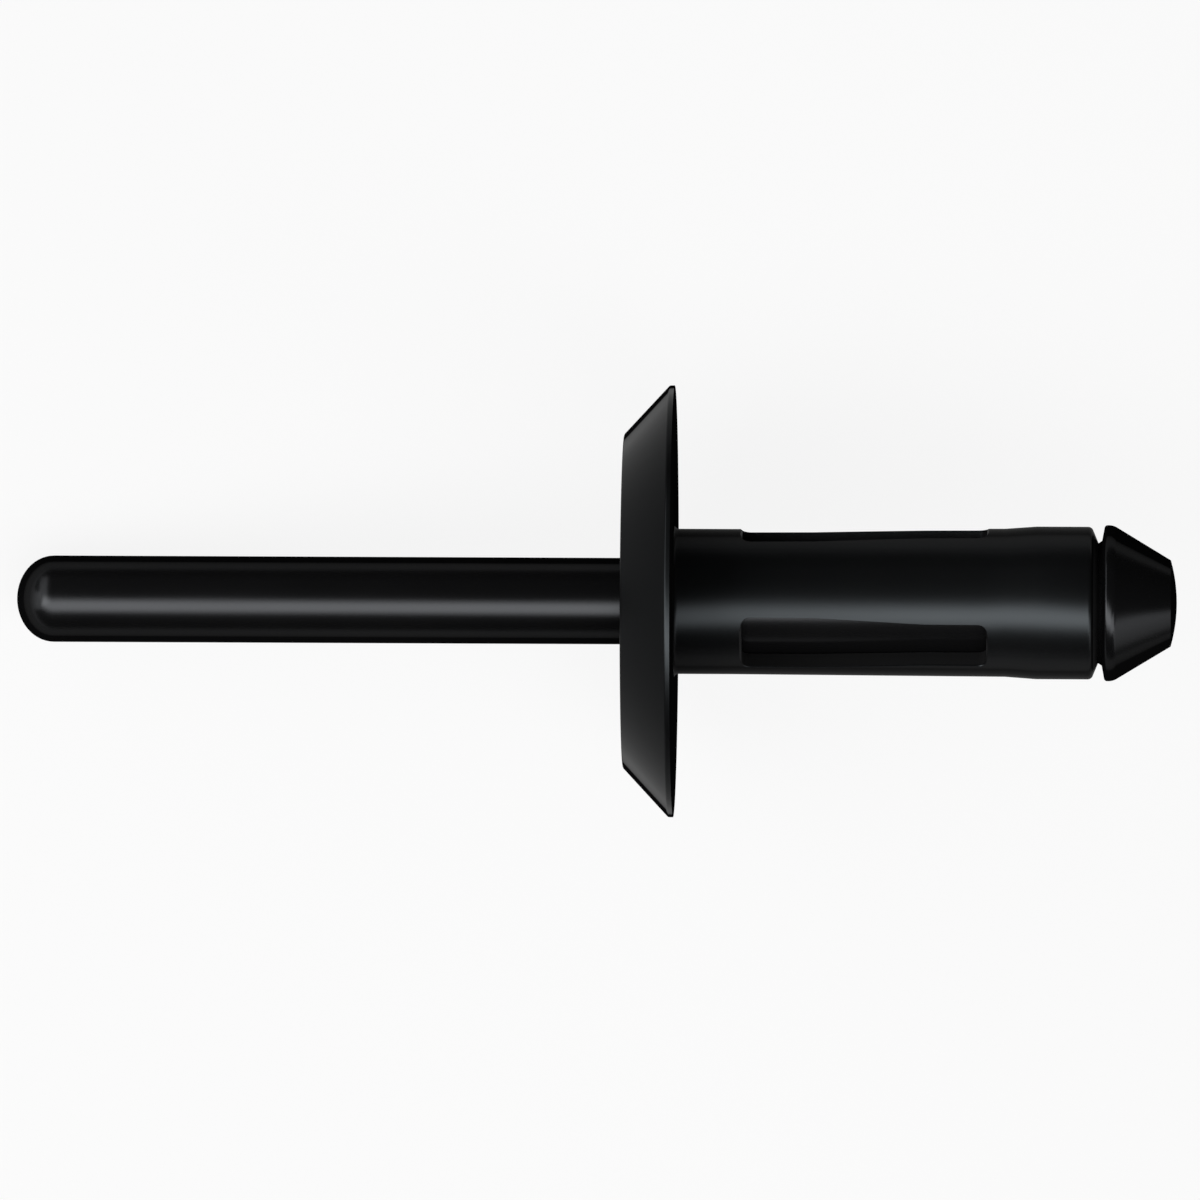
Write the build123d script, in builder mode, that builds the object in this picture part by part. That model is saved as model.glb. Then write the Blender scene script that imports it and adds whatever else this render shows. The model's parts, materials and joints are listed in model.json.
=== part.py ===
"""Plastic blind rivet: a flanged, slotted body with its pull mandrel, lying at rest.

The body is one moulding, a bevelled flange and a sleeve with three long slots. The mandrel is a
second moulding: a smooth pulling stem, a notch where it snaps off, a core that fills the sleeve
and a tapered head that stands against the sleeve's end.

Lengths are in millimetres. A station is a distance along the rivet's axis, measured from the
flange's underside and positive towards the head. The origin is the centre of that underside.
The rivet lies on the flange's rim and the stem's rounded end, so its axis slopes up towards +X.
"""

from build123d import *

import os
from math import atan2, cos, radians, sin, sqrt, tan

# Flange
flange_diameter = 18.0
flange_face_diameter = 13.9  # of the outer face, inside the bevel
flange_thickness = 2.1
rim_width = 0.2  # the narrow band round the flange's edge
rim_round = 0.12
face_round = 0.15
root_round = 0.2  # where the sleeve meets the flange
guide_length = 1.5  # of the narrow bore that guides the stem through the flange
guide_lead = 0.2  # bevel round its mouth

# Sleeve: a plain grip next to the flange, three legs that widen a little, and a thicker collar
sleeve_length = 17.68
grip_diameter = 6.05
grip_length = 2.5
legs_end_diameter = 6.17
collar_diameter = 6.36
collar_station = 13.8
collar_ramp = 1.3
end_bevel = 0.28  # length of the bevel round the sleeve's end
seat_width = 0.25  # of the ring round the bore where the head bears on the sleeve

# Slots that let the legs fold outward
slot_count = 3
slot_lead = 0.2  # from the grip to the slots
slot_length = 10.4
slot_root_width = 2.4  # at the flange's end
slot_tip_width = 1.9  # at the head's end
slot_corner = 0.38
slot_turn = 37.5  # degrees from straight up to the first slot, turning towards -Y

# Mandrel
stem_diameter = 3.6
stem_reach = 25.3  # from the flange's outer face to the stem's end
stem_dome = 1.54  # length of the rounded end
stem_root_diameter = 3.66  # at the notch, inside the flange
stem_taper_lead = 0.3  # of plain stem left off outside the flange, where the taper starts
core_diameter = 4.4
core_station = 2.3
neck_diameter = 2.4
neck_land = 0.15  # width of the notch's floor
head_diameter = 6.5
head_bearing_lift = 0.15  # the two slopes under the head, outside the bearing ring
head_rim_lift = 0.12
head_lift_width = 0.1  # of the inner slope
head_band = 0.35
head_cone_length = 2.4
head_end_diameter = 3.6
head_dome = 0.25
head_round = 0.12

running_clearance = 0.05  # round the stem and the core in the body's bore, on the radius

flange_radius = flange_diameter / 2
face_radius = flange_face_diameter / 2
grip_radius = grip_diameter / 2
legs_end_radius = legs_end_diameter / 2
collar_radius = collar_diameter / 2
stem_radius = stem_diameter / 2
stem_root_radius = stem_root_diameter / 2
core_radius = core_diameter / 2
neck_radius = neck_diameter / 2
head_radius = head_diameter / 2
bore_radius = core_radius + running_clearance
guide_radius = stem_root_radius + running_clearance
seat_radius = bore_radius + seat_width
stem_end_station = -flange_thickness - stem_reach
dome_centre_station = stem_end_station + stem_dome


def resting_slope():
    """The axis's slope in radians, when the rim and the stem's end both touch the floor."""
    bevel_angle = atan2(flange_radius - face_radius, flange_thickness - rim_width)
    round_start = rim_width - rim_round * tan(bevel_angle / 2)
    reach = -round_start - dome_centre_station
    slope = 0.0
    for _ in range(30):
        dome_drop = sqrt((stem_dome * sin(slope)) ** 2 + (stem_radius * cos(slope)) ** 2)
        rim_drop = (flange_radius - rim_round) * cos(slope) + rim_round
        slope = atan2(rim_drop - dome_drop, reach * cos(slope))
    return slope


slope = resting_slope()
rivet_axis = Axis((0, 0, 0), (cos(slope), 0, sin(slope)))
# The half-sections are drawn here: x is the station and y the radius, square to the axis.
section_plane = Plane(origin=(0, 0, 0), x_dir=rivet_axis.direction, z_dir=(0, -1, 0))


def slot_plane(turn):
    """A plane through the rivet's axis that faces one slot, turned in degrees from straight up."""
    upward, sideways = section_plane.y_dir, section_plane.z_dir
    facing = upward * cos(radians(turn)) + sideways * sin(radians(turn))
    return Plane(origin=(0, 0, 0), x_dir=rivet_axis.direction, z_dir=facing)


def corner(sketch, station, radius):
    """The vertex of a half-section that lies at this station and radius."""
    return sketch.vertices().sort_by_distance((station, radius))[0]


# Body: the flange and the sleeve, turned from one half-section, then slotted. The bore narrows
# in the flange to a conical stop, which the core's shoulder meets when the mandrel is pulled.
guide_end = guide_length - flange_thickness
slot_station = grip_length + slot_lead
slot_end = slot_station + slot_length

with BuildPart() as rivet_body:
    with BuildSketch(section_plane) as body_section:
        with BuildLine():
            Polyline(
                (-flange_thickness, guide_radius + guide_lead),
                (-flange_thickness, face_radius),
                (-rim_width, flange_radius),
                (0, flange_radius),
                (0, grip_radius),
                (grip_length, grip_radius),
                (collar_station, legs_end_radius),
                (collar_station + collar_ramp, collar_radius),
                (sleeve_length - end_bevel, collar_radius),
                (sleeve_length, seat_radius),
                (sleeve_length, bore_radius),
                (guide_end + bore_radius - guide_radius, bore_radius),
                (guide_end, guide_radius),
                (guide_lead - flange_thickness, guide_radius),
                close=True,
            )
        make_face()
        fillet(corner(body_section, -flange_thickness, face_radius), face_round)
        fillet(corner(body_section, -rim_width, flange_radius), rim_round)
        fillet(corner(body_section, 0, grip_radius), root_round)
    revolve(axis=rivet_axis)

    for index in range(slot_count):
        with BuildSketch(slot_plane(slot_turn + index * 360 / slot_count)) as slot_outline:
            with BuildLine():
                Polyline(
                    (slot_station, -slot_root_width / 2),
                    (slot_end, -slot_tip_width / 2),
                    (slot_end, slot_tip_width / 2),
                    (slot_station, slot_root_width / 2),
                    close=True,
                )
            make_face()
            fillet(slot_outline.vertices(), slot_corner)
        extrude(amount=head_radius, mode=Mode.SUBTRACT)

# Mandrel: stem, break notch, core and head, turned from one half-section.
neck_end = core_station - (core_radius - neck_radius)
neck_start = neck_end - neck_land
head_station = sleeve_length + head_bearing_lift + head_rim_lift
cone_station = head_station + head_band
cone_end = cone_station + head_cone_length

with BuildPart() as mandrel:
    with BuildSketch(section_plane) as mandrel_section:
        with BuildLine():
            EllipticalCenterArc(
                (dome_centre_station, 0), stem_dome, stem_radius, start_angle=180, arc_size=-90
            )
            Polyline(
                (dome_centre_station, stem_radius),
                (-flange_thickness - stem_taper_lead, stem_radius),
                (neck_start - (stem_root_radius - neck_radius), stem_root_radius),
                (neck_start, neck_radius),
                (neck_end, neck_radius),
                (core_station, core_radius),
                (sleeve_length, core_radius),
                (sleeve_length, seat_radius),
                (sleeve_length + head_bearing_lift, seat_radius + head_lift_width),
                (head_station, head_radius),
                (cone_station, head_radius),
                (cone_end, head_end_diameter / 2),
            )
            TangentArc(
                (cone_end + head_dome, 0), (cone_end, head_end_diameter / 2), tangent=(0, 1)
            )
            Line((stem_end_station, 0), (cone_end + head_dome, 0))
        make_face()
        fillet(corner(mandrel_section, head_station, head_radius), head_round)
        fillet(corner(mandrel_section, cone_station, head_radius), head_round)
    revolve(axis=rivet_axis)

rivet_body.part.label = "rivet_body"
mandrel.part.label = "mandrel"

os.makedirs("parts", exist_ok=True)
export_step(rivet_body.part, "parts/rivet_body.step")
export_step(mandrel.part, "parts/mandrel.step")
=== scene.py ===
import json
import math

import bmesh
import bpy
from mathutils import Matrix, Vector

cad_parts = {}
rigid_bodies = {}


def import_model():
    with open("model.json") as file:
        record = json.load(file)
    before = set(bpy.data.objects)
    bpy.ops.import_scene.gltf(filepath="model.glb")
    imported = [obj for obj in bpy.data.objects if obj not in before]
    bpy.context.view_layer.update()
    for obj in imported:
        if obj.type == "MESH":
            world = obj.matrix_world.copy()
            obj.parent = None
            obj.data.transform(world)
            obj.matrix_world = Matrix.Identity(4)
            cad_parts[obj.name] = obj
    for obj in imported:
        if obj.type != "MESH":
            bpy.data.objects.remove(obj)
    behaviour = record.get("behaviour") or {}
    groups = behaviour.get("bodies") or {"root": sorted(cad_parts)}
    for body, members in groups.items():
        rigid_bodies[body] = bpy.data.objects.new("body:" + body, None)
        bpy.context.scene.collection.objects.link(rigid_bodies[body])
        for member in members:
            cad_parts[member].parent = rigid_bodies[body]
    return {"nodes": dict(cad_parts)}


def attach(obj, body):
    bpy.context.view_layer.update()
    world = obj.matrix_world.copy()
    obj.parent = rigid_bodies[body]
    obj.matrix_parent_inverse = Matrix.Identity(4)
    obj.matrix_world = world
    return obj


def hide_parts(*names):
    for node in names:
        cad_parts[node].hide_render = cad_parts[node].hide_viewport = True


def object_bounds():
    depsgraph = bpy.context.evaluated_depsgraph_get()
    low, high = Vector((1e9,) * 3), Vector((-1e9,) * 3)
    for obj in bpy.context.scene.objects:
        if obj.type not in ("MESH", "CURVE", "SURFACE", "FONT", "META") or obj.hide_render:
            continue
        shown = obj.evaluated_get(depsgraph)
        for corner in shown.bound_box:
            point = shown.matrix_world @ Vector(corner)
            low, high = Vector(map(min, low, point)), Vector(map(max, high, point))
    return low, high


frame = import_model()
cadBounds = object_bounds()
print("frame loaded:", ", ".join(frame["nodes"]))

mm = 0.001

# How the rivet lies: its axis slopes up towards the head. Stations run along the axis from the
# flange's underside, where the origin is, and are positive towards the head.
lie = {
    "slope": 15.5488,  # degrees
    "floorLevel": cadBounds[0].z,
}
slope = math.radians(lie["slope"])
axisWay = Vector((math.cos(slope), 0, math.sin(slope)))
upWay = Vector((-math.sin(slope), 0, math.cos(slope)))
sideWay = Vector((0, 1, 0))

# How both pieces are made: lengths in millimetres, the angle in degrees.
making = {
    "ringSlack": 0.004,   # how near to its place a ring's vertex has to be
    "weldReach": 0.0005,  # vertices nearer than this are one
    "smoothAngle": 28,    # edges that turn by less than this are shaded smooth
    "bevelSteps": 4,
}


# ---- ways of working that both pieces share

def ringOf(mesh, station, radius):
    # edges of the ring at this station and radius, in millimetres, on a piece still upright on Z
    slack = making["ringSlack"] * mm
    found = []
    for edge in mesh.edges:
        ends = [v.co for v in edge.verts]
        if all(abs(c.z - station * mm) < slack
               and abs(math.hypot(c.x, c.y) - radius * mm) < slack for c in ends):
            found.append(edge)
    return found


def turnedForm(name, profile, segments):
    # draws a ring out from station to station, as on a lathe, upright on Z
    bpy.ops.object.select_all(action="DESELECT")
    station, radius = profile[0]
    bpy.ops.mesh.primitive_circle_add(vertices=segments, radius=radius * mm,
                                      location=(0, 0, station * mm))
    piece = bpy.context.object
    piece.name = piece.data.name = name
    bpy.ops.object.transform_apply(location=True, rotation=False, scale=False)
    bpy.ops.object.mode_set(mode="EDIT")
    bpy.ops.mesh.select_all(action="SELECT")
    for nextStation, nextRadius in profile[1:]:
        bpy.ops.mesh.extrude_edges_move(
            TRANSFORM_OT_translate={"value": (0, 0, (nextStation - station) * mm)})
        grow = nextRadius / radius
        bpy.ops.transform.resize(value=(grow, grow, 1), center_override=(0, 0, nextStation * mm))
        station, radius = nextStation, nextRadius
    return piece


def pickRing(piece, station, radius):
    bpy.ops.mesh.select_mode(type="EDGE")
    bpy.ops.mesh.select_all(action="DESELECT")
    mesh = bmesh.from_edit_mesh(piece.data)
    for edge in ringOf(mesh, station, radius):
        edge.select_set(True)
    bmesh.update_edit_mesh(piece.data)


def roundRing(piece, station, radius, amount):
    pickRing(piece, station, radius)
    bpy.ops.mesh.bevel(offset=amount * mm, offset_type="OFFSET", segments=making["bevelSteps"],
                       profile=0.5, affect="EDGES", clamp_overlap=False)


def closeForm():
    # joins what meets and turns the faces outward
    bpy.ops.mesh.select_all(action="SELECT")
    bpy.ops.mesh.remove_doubles(threshold=making["weldReach"] * mm)
    bpy.ops.mesh.normals_make_consistent(inside=False)


def layDown(piece):
    # from upright on Z to the rivet's own axis, with its place kept in its mesh
    bpy.ops.object.select_all(action="DESELECT")
    piece.select_set(True)
    bpy.context.view_layer.objects.active = piece
    piece.rotation_euler = (0, math.pi / 2 - slope, 0)
    bpy.ops.object.transform_apply(location=True, rotation=True, scale=True)


def dress(piece, material):
    # a piece that is laid down gets its shading and its finish
    bpy.ops.object.shade_smooth_by_angle(angle=math.radians(making["smoothAngle"]))
    piece.data.materials.clear()
    piece.data.materials.append(material)


def maths(tree, operation, *values):
    # the output of a math node that takes sockets or plain numbers
    node = tree.nodes.new("ShaderNodeMath")
    node.operation = operation
    for socket, value in zip(node.inputs, values):
        if isinstance(value, bpy.types.NodeSocket):
            tree.links.new(value, socket)
        else:
            socket.default_value = value
    return node.outputs["Value"]


# ---- finishes

def nylon(name, look):
    # black moulded nylon: a dark ground, a satin skin with a fine moulded grain and soft unevenness
    material = bpy.data.materials.new(name)
    material.use_nodes = True
    tree = material.node_tree
    nodes, links = tree.nodes, tree.links
    shader = nodes["Principled BSDF"]
    shader.inputs["IOR"].default_value = look["ior"]
    shader.inputs["Specular Tint"].default_value = (*look["tint"], 1)

    def ramp(stops, source, scale=1.0):
        # levels at the stops' places, with the source in the places' own unit times the scale
        first, last = stops[0][0], stops[-1][0]
        place = nodes.new("ShaderNodeMapRange")
        place.inputs["From Min"].default_value = first * scale
        place.inputs["From Max"].default_value = last * scale
        links.new(source, place.inputs["Value"])
        levels = nodes.new("ShaderNodeValToRGB")
        steps = levels.color_ramp.elements
        while len(steps) < len(stops):
            steps.new(0.5)
        for step, (at, level) in zip(steps, stops):
            step.position = (at - first) / (last - first)
            step.color = (level, level, level, 1)
        links.new(place.outputs["Result"], levels.inputs["Fac"])
        return levels.outputs["Color"]

    def pattern(scale, detail, stretch=1.0):
        spread = nodes.new("ShaderNodeMapping")
        spread.inputs["Scale"].default_value = (stretch, 1, 1)
        links.new(turn.outputs["Vector"], spread.inputs["Vector"])
        noise = nodes.new("ShaderNodeTexNoise")
        noise.inputs["Scale"].default_value = scale
        noise.inputs["Detail"].default_value = detail
        links.new(spread.outputs["Vector"], noise.inputs["Vector"])
        return noise.outputs["Fac"]

    def between(source, low, high):
        ranged = nodes.new("ShaderNodeMapRange")
        ranged.inputs["From Min"].default_value, ranged.inputs["From Max"].default_value = (
            look["patternRange"])
        ranged.inputs["To Min"].default_value = low
        ranged.inputs["To Max"].default_value = high
        links.new(source, ranged.inputs["Value"])
        return ranged.outputs["Result"]

    def bump(height, depth, under=None):
        raised = nodes.new("ShaderNodeBump")
        raised.inputs["Strength"].default_value = 1
        raised.inputs["Distance"].default_value = depth * mm
        links.new(height, raised.inputs["Height"])
        if under:
            links.new(under, raised.inputs["Normal"])
        return raised.outputs["Normal"]

    # the rivet's own space: X is the station, Y and Z lie across the axis
    where = nodes.new("ShaderNodeTexCoord")
    turn = nodes.new("ShaderNodeMapping")
    turn.inputs["Rotation"].default_value = (0, slope, 0)
    links.new(where.outputs["Object"], turn.inputs["Vector"])
    split = nodes.new("ShaderNodeSeparateXYZ")
    links.new(turn.outputs["Vector"], split.inputs["Vector"])
    station = split.outputs["X"]

    # the dull skin loses its gloss towards the edges of what is seen, and its gloss is dimmed near
    # the flange as painted shade of the flange
    weight = nodes.new("ShaderNodeLayerWeight")
    weight.inputs["Blend"].default_value = 0.5
    facing = weight.outputs["Facing"]
    gloss = maths(tree, "MULTIPLY", ramp(look["gloss"], facing), ramp(look["flangeShade"], station, mm))
    # the flange, which ends at station 0, has a gloss of its own
    either = nodes.new("ShaderNodeMix")
    links.new(maths(tree, "LESS_THAN", station, look["flangeEnd"] * mm), either.inputs["Factor"])
    links.new(gloss, either.inputs["A"])
    links.new(ramp(look["flangeGloss"], facing), either.inputs["B"])
    links.new(either.outputs["Result"], shader.inputs["Specular IOR Level"])

    # a dark ground with soft clouds in it
    tone = nodes.new("ShaderNodeMix")
    tone.data_type = "RGBA"
    tone.inputs["A"].default_value = (*look["dark"], 1)
    tone.inputs["B"].default_value = (*look["light"], 1)
    cloudy = pattern(look["cloudScale"], look["softDetail"])
    links.new(between(cloudy, 0, 1), tone.inputs["Factor"])

    # the faces inside the sleeve are painted paler: painted light in place of the light that the
    # deep slots shut out
    spoke = nodes.new("ShaderNodeVectorMath")
    spoke.operation = "MULTIPLY"
    spoke.inputs[1].default_value = (0, 1, 1)
    links.new(turn.outputs["Vector"], spoke.inputs[0])
    radius = nodes.new("ShaderNodeVectorMath")
    radius.operation = "LENGTH"
    links.new(spoke.outputs["Vector"], radius.inputs[0])
    within = maths(tree, "LESS_THAN", radius.outputs["Value"], look["innerRadius"] * mm)
    start, end = look["innerStations"]
    beside = maths(tree, "COMPARE", station, (start + end) / 2 * mm, (end - start) / 2 * mm)
    paintedFill = nodes.new("ShaderNodeMix")
    paintedFill.data_type = "RGBA"
    links.new(maths(tree, "MULTIPLY", within, beside), paintedFill.inputs["Factor"])
    links.new(tone.outputs["Result"], paintedFill.inputs["A"])
    paintedFill.inputs["B"].default_value = (*look["innerPaintedLight"], 1)
    links.new(paintedFill.outputs["Result"], shader.inputs["Base Color"])

    # patches of different polish, the fine grain and the slow waves
    patches = pattern(look["patchScale"], look["softDetail"], look["patchStretch"])
    links.new(between(patches, *look["roughness"]), shader.inputs["Roughness"])
    grain = bump(pattern(look["grainScale"], look["fineDetail"]), look["grainDepth"])
    waves = pattern(look["waveScale"], look["fineDetail"], look["waveStretch"])
    links.new(bump(waves, look["waveDepth"], grain), shader.inputs["Normal"])
    return material


# gloss stops are at facing values from 0, square on, to 1, edge on; the stops of the gloss's
# painted shade by the flange are at stations
bodyLook = {
    "dark": (0.0031, 0.0031, 0.0033),
    "light": (0.0041, 0.0041, 0.0043),
    "ior": 1.5,
    "tint": (0.85, 0.94, 1.0),
    "gloss": ((0, 0.5), (0.1, 0.5), (0.2, 0.27), (0.3, 0.085), (0.43, 0.045), (0.56, 0.005),
              (1, 0)),
    # painted shade: the gloss is turned down near the flange, where the flange shadows the lamps
    "flangeShade": ((0.1, 0.46), (1.75, 0.6), (2.75, 0.75), (4.3, 0.87), (8.3, 0.97), (11.3, 1.03)),
    # within this radius and between these stations the colour is painted paler, as painted light on
    # shut-in faces
    "innerRadius": 3.0,
    "innerStations": (0.5, 17.9),
    "innerPaintedLight": (0.022, 0.022, 0.0225),
    "flangeEnd": 0.02,
    "flangeGloss": ((0, 0.5), (0.1, 0.5), (0.2, 0.12), (0.3, 0.055), (0.74, 0.05), (0.84, 0),
                    (1, 0)),
    "roughness": (0.27, 0.32),
    "patternRange": (0.15, 0.85),  # of the noise's own values, spread over a look's two ends
    "softDetail": 1,
    "fineDetail": 2,
    "cloudScale": 220,
    "patchScale": 400,
    "patchStretch": 0.35,
    "grainScale": 9000,
    "grainDepth": 0.0006,
    "waveScale": 500,
    "waveStretch": 0.4,
    "waveDepth": 0.006,
}
mandrelLook = dict(
    bodyLook,
    tint=(0.92, 0.95, 1.0),
    gloss=((0, 0.5), (0.1, 0.5), (0.2, 0.26), (0.3, 0.08), (0.42, 0.03), (0.5, 0), (1, 0)),
    # no painted shade on the mandrel's gloss
    flangeShade=((-27, 1), (20, 1)),
    # painted light on the core and under the head, where the sleeve shuts light out
    innerPaintedLight=(0.0055, 0.0055, 0.0058),
    flangeEnd=-100,
    roughness=(0.2, 0.25),
    waveStretch=0.15,
)
bodyNylon = nylon("bodyNylon", bodyLook)
mandrelNylon = nylon("mandrelNylon", mandrelLook)
print("finishes made")


# ---- rivet body: flange and slotted sleeve, one moulding

rivetBodySizes = {
    "segments": 192,
    "flangeRadius": 9.0,
    "faceRadius": 6.95,
    "thickness": 2.1,
    "rimWidth": 0.2,
    "rimRound": 0.05,
    "faceRound": 0.065,
    "rootRound": 0.2,
    "gripRadius": 3.025,
    "gripLength": 2.5,
    "legsEndRadius": 3.085,
    "legRings": 12,
    "collarRadius": 3.18,
    "collarStation": 13.8,
    "collarRamp": 1.3,
    "length": 17.68,
    "endBevel": 0.28,
    "endRound": 0.14,
    "seatRadius": 2.5,
    "boreRadius": 2.25,
    "guideRadius": 1.88,
    "guideLength": 1.5,
    "guideLead": 0.2,
}
slotSizes = {
    "start": 2.85,
    "rootLength": 3.0,
    "taperLength": 4.6,
    "tipLength": 2.6,
    "rootWidth": 2.6,
    "tipWidth": 2.15,
    "corner": 0.38,
    "cornerSteps": 8,
    "turns": (38.5, 158.5, 278.5),  # from straight up, turning towards -Y
    "edgeBreak": 0.035,
    "blockInner": 1.0,   # radii between which the cutting block is drawn first
    "blockOuter": 2.5,
    "blockReach": 1.5,   # how far it then stands out of the sleeve
    "sameReach": 0.0001,  # places nearer than this count as one
}


def legRadius(station, s):
    along = (station - s["gripLength"]) / (s["collarStation"] - s["gripLength"])
    return s["gripRadius"] + max(0, min(1, along)) * (s["legsEndRadius"] - s["gripRadius"])


def slotCutter(turn, s, body):
    # a block with the slot's outline, flared where it leaves the sleeve
    bpy.ops.object.select_all(action="DESELECT")
    same = s["sameReach"] * mm
    taperStart = s["start"] + s["rootLength"]
    bpy.ops.mesh.primitive_cube_add(size=1, location=(0, 0, 0))
    cutter = bpy.context.object
    cutter.name = "slotCutter"
    # the block's own X faces out of the slot, Y runs across it and Z along it
    cutter.dimensions = ((s["blockOuter"] - s["blockInner"]) * mm, s["rootWidth"] * mm,
                         s["rootLength"] * mm)
    cutter.location = ((s["blockInner"] + s["blockOuter"]) / 2 * mm, 0,
                       (s["start"] + taperStart) / 2 * mm)
    bpy.ops.object.transform_apply(location=True, rotation=False, scale=True)
    bpy.ops.object.mode_set(mode="EDIT")
    bpy.ops.mesh.select_mode(type="FACE")
    bpy.ops.mesh.select_all(action="DESELECT")
    mesh = bmesh.from_edit_mesh(cutter.data)
    max(mesh.faces, key=lambda f: f.calc_center_median().z).select_set(True)
    bmesh.update_edit_mesh(cutter.data)
    bpy.ops.mesh.extrude_region_move(
        TRANSFORM_OT_translate={"value": (0, 0, s["taperLength"] * mm)})
    bpy.ops.transform.resize(value=(1, s["tipWidth"] / s["rootWidth"], 1),
                             center_override=(0, 0, taperStart * mm))
    bpy.ops.mesh.extrude_region_move(
        TRANSFORM_OT_translate={"value": (0, 0, s["tipLength"] * mm)})
    # the four corners at the two ends
    slotEnd = taperStart + s["taperLength"] + s["tipLength"]
    bpy.ops.mesh.select_mode(type="EDGE")
    bpy.ops.mesh.select_all(action="DESELECT")
    mesh = bmesh.from_edit_mesh(cutter.data)
    for edge in mesh.edges:
        a, b = (v.co for v in edge.verts)
        atEnd = min(abs(a.z - s["start"] * mm), abs(a.z - slotEnd * mm)) < same
        edge.select_set(atEnd and abs(a.y - b.y) < same and abs(a.z - b.z) < same)
    bmesh.update_edit_mesh(cutter.data)
    bpy.ops.mesh.bevel(offset=s["corner"] * mm, offset_type="OFFSET",
                       segments=s["cornerSteps"], affect="EDGES", clamp_overlap=False)
    # the outer end is set just under the sleeve's skin, then flared out through it
    bpy.ops.mesh.select_mode(type="FACE")
    bpy.ops.mesh.select_all(action="DESELECT")
    mesh = bmesh.from_edit_mesh(cutter.data)
    mesh.normal_update()
    outer = [f for f in mesh.faces if f.normal.x > 0.9]
    for face in outer:
        face.select_set(True)
    for v in {v for face in outer for v in face.verts}:
        skin = math.sqrt((legRadius(v.co.z / mm, body) * mm) ** 2 - v.co.y ** 2)
        v.co.x = skin - s["edgeBreak"] * mm
    bmesh.update_edit_mesh(cutter.data)
    flare = 2 * s["edgeBreak"]
    length = slotEnd - s["start"]
    bpy.ops.mesh.extrude_region_move(TRANSFORM_OT_translate={"value": (flare * mm, 0, 0)})
    bpy.ops.transform.resize(value=(1, 1 + 2 * flare / s["rootWidth"], 1 + 2 * flare / length),
                             center_override=(0, 0, (s["start"] + length / 2) * mm))
    bpy.ops.mesh.extrude_region_move(
        TRANSFORM_OT_translate={"value": (s["blockReach"] * mm, 0, 0)})
    bpy.ops.mesh.select_all(action="SELECT")
    bpy.ops.mesh.normals_make_consistent(inside=False)
    bpy.ops.object.mode_set(mode="OBJECT")
    cutter.rotation_euler = (0, 0, math.pi + math.radians(turn))
    bpy.ops.object.transform_apply(location=True, rotation=True, scale=True)
    return cutter


def makeRivetBody(s, slots):
    guideEnd = s["guideLength"] - s["thickness"]
    legsLength = s["collarStation"] - s["gripLength"]
    legStations = [s["gripLength"] + step / s["legRings"] * legsLength
                   for step in range(s["legRings"] + 1)]
    profile = [
        (-s["thickness"], s["guideRadius"] + s["guideLead"]),
        (-s["thickness"], s["faceRadius"]),
        (-s["rimWidth"], s["flangeRadius"]),
        (0, s["flangeRadius"]),
        (0, s["gripRadius"]),
        *((station, legRadius(station, s)) for station in legStations),
        (s["collarStation"] + s["collarRamp"], s["collarRadius"]),
        (s["length"] - s["endBevel"], s["collarRadius"]),
        (s["length"], s["seatRadius"]),
        (s["length"], s["boreRadius"]),
        (guideEnd + s["boreRadius"] - s["guideRadius"], s["boreRadius"]),
        (guideEnd, s["guideRadius"]),
        (s["guideLead"] - s["thickness"], s["guideRadius"]),
        (-s["thickness"], s["guideRadius"] + s["guideLead"]),
    ]
    piece = turnedForm("rivetBody", profile, s["segments"])
    closeForm()
    roundRing(piece, -s["thickness"], s["faceRadius"], s["faceRound"])
    roundRing(piece, -s["rimWidth"], s["flangeRadius"], s["rimRound"])
    roundRing(piece, 0, s["gripRadius"], s["rootRound"])
    roundRing(piece, s["length"] - s["endBevel"], s["collarRadius"], s["endRound"])
    bpy.ops.object.mode_set(mode="OBJECT")
    cutters = [slotCutter(turn, slots, s) for turn in slots["turns"]]
    bpy.ops.object.select_all(action="DESELECT")
    piece.select_set(True)
    bpy.context.view_layer.objects.active = piece
    for cutter in cutters:
        bpy.ops.object.modifier_add(type="BOOLEAN")
        cut = piece.modifiers[-1]
        cut.operation = "DIFFERENCE"
        cut.solver = "EXACT"
        cut.object = cutter
        bpy.ops.object.modifier_apply(modifier=cut.name)
    for cutter in cutters:
        bpy.data.objects.remove(cutter)
    layDown(piece)
    dress(piece, bodyNylon)
    return piece


rivetBody = makeRivetBody(rivetBodySizes, slotSizes)
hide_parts("rivet_body")
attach(rivetBody, "body")
print("rivet body:", len(rivetBody.data.polygons), "faces")


# ---- pull mandrel: domed stem, break notch, core and tapered head, one moulding

mandrelSizes = {
    "segments": 160,
    "stemRadius": 1.8,
    "stemEnd": -27.4,
    "domeLength": 1.54,
    "domeSteps": 14,
    "taperStart": -2.4,
    "stemRootRadius": 1.83,
    "neckRadius": 1.2,
    "neckStart": 1.15,
    "neckLand": 0.15,
    "coreRadius": 2.2,
    "coreStation": 2.3,
    "sleeveLength": 17.68,
    "seatRadius": 2.5,
    "bearingLift": 0.15,
    "liftWidth": 0.1,
    "rimLift": 0.12,
    "headRadius": 3.25,
    "headBand": 0.35,
    "coneLength": 2.4,
    "endRadius": 1.8,
    "endDome": 0.25,
    "endSteps": 6,
    "rimRound": 0.1,
    "bandRound": 0.15,
}


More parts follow.
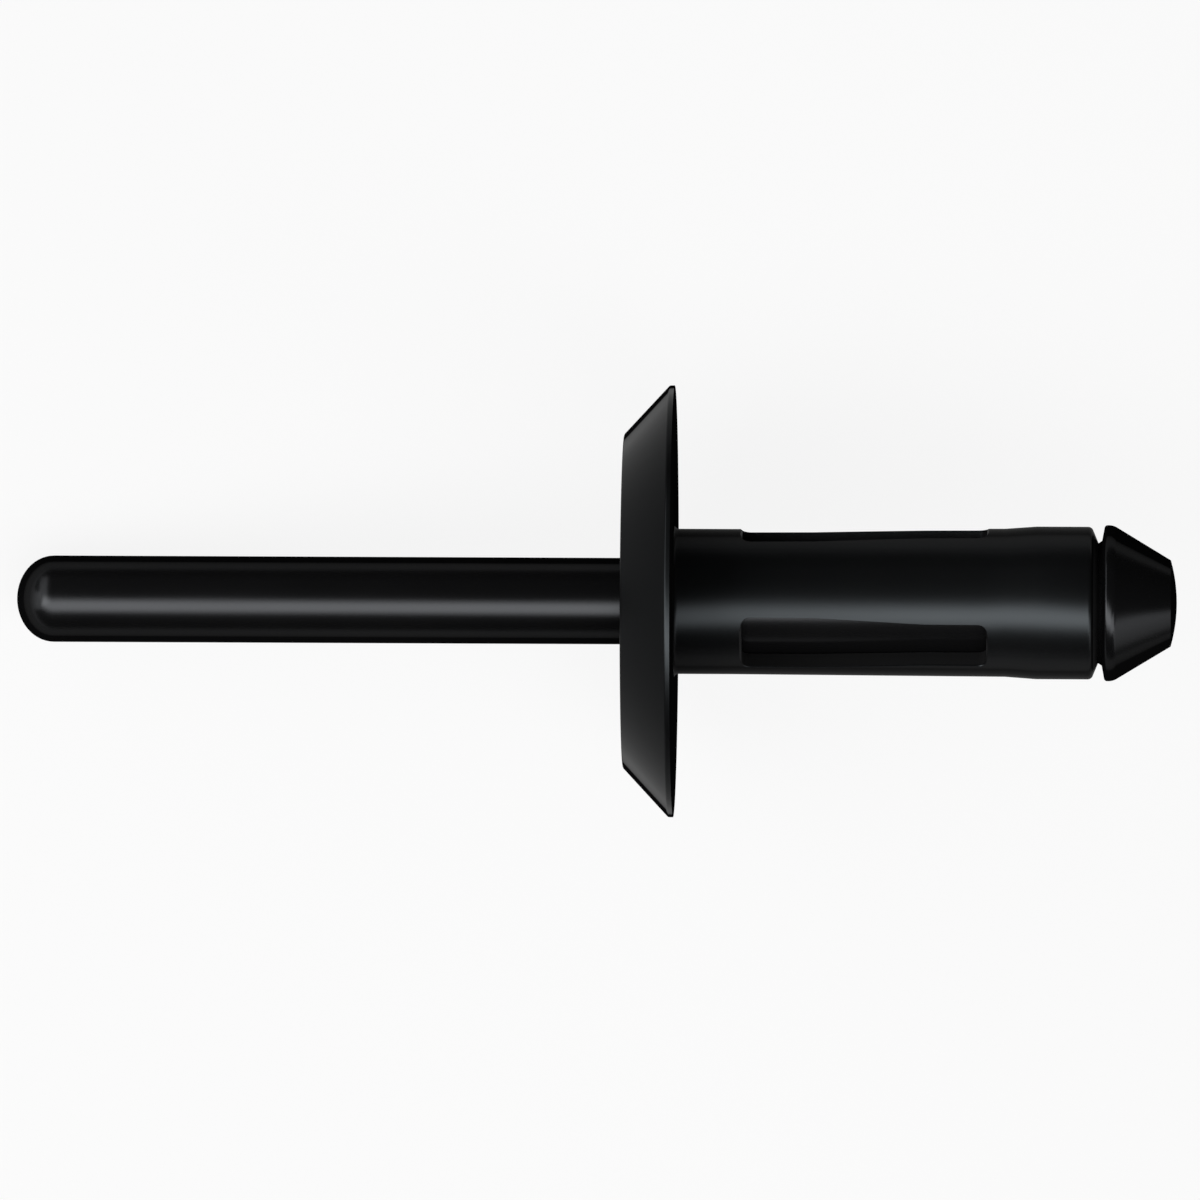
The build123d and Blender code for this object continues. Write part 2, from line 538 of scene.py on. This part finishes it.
def makePullMandrel(s):
    profile = []
    for step in range(1, s["domeSteps"] + 1):
        turn = math.pi / 2 * step / s["domeSteps"]
        profile.append((s["stemEnd"] + s["domeLength"] * (1 - math.cos(turn)),
                        s["stemRadius"] * math.sin(turn)))
    headStation = s["sleeveLength"] + s["bearingLift"] + s["rimLift"]
    coneEnd = headStation + s["headBand"] + s["coneLength"]
    profile += [
        (s["taperStart"], s["stemRadius"]),
        (s["neckStart"] - (s["stemRootRadius"] - s["neckRadius"]), s["stemRootRadius"]),
        (s["neckStart"], s["neckRadius"]),
        (s["neckStart"] + s["neckLand"], s["neckRadius"]),
        (s["coreStation"], s["coreRadius"]),
        (s["sleeveLength"], s["coreRadius"]),
        (s["sleeveLength"], s["seatRadius"]),
        (s["sleeveLength"] + s["bearingLift"], s["seatRadius"] + s["liftWidth"]),
        (headStation, s["headRadius"]),
        (headStation + s["headBand"], s["headRadius"]),
        (coneEnd, s["endRadius"]),
    ]
    ball = (s["endRadius"] ** 2 + s["endDome"] ** 2) / (2 * s["endDome"])
    for step in range(1, s["endSteps"]):
        radius = s["endRadius"] * (1 - step / s["endSteps"])
        profile.append((coneEnd + s["endDome"] - ball + math.sqrt(ball ** 2 - radius ** 2),
                        radius))
    piece = turnedForm("pullMandrel", profile, s["segments"])
    # both ends are drawn in to a point
    bpy.ops.mesh.extrude_edges_move(TRANSFORM_OT_translate={
        "value": (0, 0, (coneEnd + s["endDome"] - profile[-1][0]) * mm)})
    bpy.ops.mesh.merge(type="CENTER")
    pickRing(piece, *profile[0])
    bpy.ops.mesh.extrude_edges_move(TRANSFORM_OT_translate={
        "value": (0, 0, (s["stemEnd"] - profile[0][0]) * mm)})
    bpy.ops.mesh.merge(type="CENTER")
    closeForm()
    roundRing(piece, headStation, s["headRadius"], s["rimRound"])
    roundRing(piece, headStation + s["headBand"], s["headRadius"], s["bandRound"])
    bpy.ops.object.mode_set(mode="OBJECT")
    layDown(piece)
    dress(piece, mandrelNylon)
    return piece


pullMandrel = makePullMandrel(mandrelSizes)
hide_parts("mandrel")
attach(pullMandrel, "mandrel")
print("pull mandrel:", len(pullMandrel.data.polygons), "faces")


# ---- floor

floorSizes = {
    "side": 6.0,
    "colour": (0.93, 0.93, 0.93),
    "roughness": 0.9,
    "gloss": 0.1,
    "paperWhite": 0.88,  # share of the paper's brightness that is even
}


def floorPaper(look):
    # white paper: part of its brightness is even, the rest is lit and holds the rivet's shadow
    material = bpy.data.materials.new("floorPaper")
    material.use_nodes = True
    tree = material.node_tree
    nodes, links = tree.nodes, tree.links
    shader = nodes["Principled BSDF"]
    shader.inputs["Base Color"].default_value = (*look["colour"], 1)
    shader.inputs["Roughness"].default_value = look["roughness"]
    shader.inputs["Specular IOR Level"].default_value = look["gloss"]
    even = nodes.new("ShaderNodeEmission")
    even.inputs["Color"].default_value = (1, 1, 1, 1)
    even.inputs["Strength"].default_value = 1
    ray = nodes.new("ShaderNodeLightPath")
    seen = ray.outputs["Is Camera Ray"]
    for other in ("Is Glossy Ray", "Is Transmission Ray"):
        seen = maths(tree, "MAXIMUM", seen, ray.outputs[other])
    share = maths(tree, "MULTIPLY", seen, look["paperWhite"])
    blend = nodes.new("ShaderNodeMixShader")
    links.new(share, blend.inputs["Fac"])
    links.new(shader.outputs["BSDF"], blend.inputs[1])
    links.new(even.outputs["Emission"], blend.inputs[2])
    links.new(blend.outputs["Shader"], nodes["Material Output"].inputs["Surface"])
    return material


bpy.ops.object.select_all(action="DESELECT")
bpy.ops.mesh.primitive_plane_add(size=floorSizes["side"], location=(0, 0, lie["floorLevel"]))
floor = bpy.context.object
floor.name = "floor"
floor.data.materials.append(floorPaper(floorSizes))
print("floor laid")


# ---- light and camera

# each lamp: its angle round the rivet's axis from straight over it towards -Y, its angle along the
# axis towards the head, how far it is swung round its own middle, its distance, length and width,
# and its brightness, where 1 is white. The three strips lie one behind the other, because a
# reflection shows only one of several lamps that share a plane
lamps = {
    "stripMiddle": (18.4, -12, -16, 0.30, 0.34, 0.105, 1.15),
    "stripSoft": (18.4, -12, -16, 0.31, 0.38, 0.16, 1.05),
    "stripEdge": (18.4, -12, -16, 0.32, 0.42, 0.23, 0.95),
    "headEdge": (34, 28, 0, 0.5, 0.22, 0.2, 2.4),
    "headSide": (69, 53, 0, 0.5, 0.3, 0.34, 1.25),
    "stemSide": (8, -66, 0, 0.5, 0.3, 0.35, 1.1),
    "stemTop": (-25, -36, 0, 0.6, 0.3, 0.9, 0.9),
}
sky = {"level": 0.03}
shot = {
    "yaw": 1.45,             # degrees from square on to the axis, towards the head
    "roll": 0.25,            # degrees
    "distance": 1.0,
    "frameWidth": 50.012 * mm,
    "originAcross": 74,      # where the origin stands, in pixels right of and below the middle
    "originDown": 1,
    "pixels": 1200,
    "sensorWidth": 36,
    "clipStart": 0.01,
    "clipEnd": 20,
}

for name, (turn, along, swing, distance, length, width, level) in lamps.items():
    turn, along, swing = (math.radians(angle) for angle in (turn, along, swing))
    over = upWay * math.cos(turn) - sideWay * math.sin(turn)
    lampWay = over * math.cos(along) + axisWay * math.sin(along)
    lengthWay = axisWay * math.cos(along) - over * math.sin(along)
    widthWay = lampWay.cross(lengthWay)
    bpy.ops.object.select_all(action="DESELECT")
    bpy.ops.object.light_add(type="AREA", location=lampWay * distance)
    lamp = bpy.context.object
    lamp.name = name
    lamp.data.shape = "RECTANGLE"
    lamp.data.size = length
    lamp.data.size_y = width
    lamp.data.energy = level * math.pi * length * width
    facing = Matrix((lengthWay, widthWay, lampWay)).transposed()
    lamp.rotation_euler = (facing @ Matrix.Rotation(swing, 3, "Z")).to_euler()
    lamp.visible_camera = False

world = bpy.data.worlds.new("sky")
bpy.context.scene.world = world
world.use_nodes = True
world.node_tree.nodes["Background"].inputs["Color"].default_value = (1, 1, 1, 1)
world.node_tree.nodes["Background"].inputs["Strength"].default_value = sky["level"]

lean = slope - math.radians(shot["yaw"])
lookWay = Vector((-math.sin(lean), 0, math.cos(lean)))
rightWay = Vector((math.cos(lean), 0, math.sin(lean)))
pixel = shot["frameWidth"] / shot["pixels"]
aim = -rightWay * shot["originAcross"] * pixel + sideWay * shot["originDown"] * pixel
bpy.ops.object.camera_add(location=aim + lookWay * shot["distance"])
camera = bpy.context.object
camera.name = "camera"
stand = Matrix((rightWay, sideWay, lookWay)).transposed()
camera.rotation_euler = (stand @ Matrix.Rotation(math.radians(shot["roll"]), 3, "Z")).to_euler()
camera.data.sensor_width = shot["sensorWidth"]
camera.data.lens = shot["sensorWidth"] * shot["distance"] / shot["frameWidth"]
camera.data.clip_start = shot["clipStart"]
camera.data.clip_end = shot["clipEnd"]
bpy.context.scene.camera = camera
bpy.context.scene.view_settings.view_transform = "Standard"
print("light and camera set")
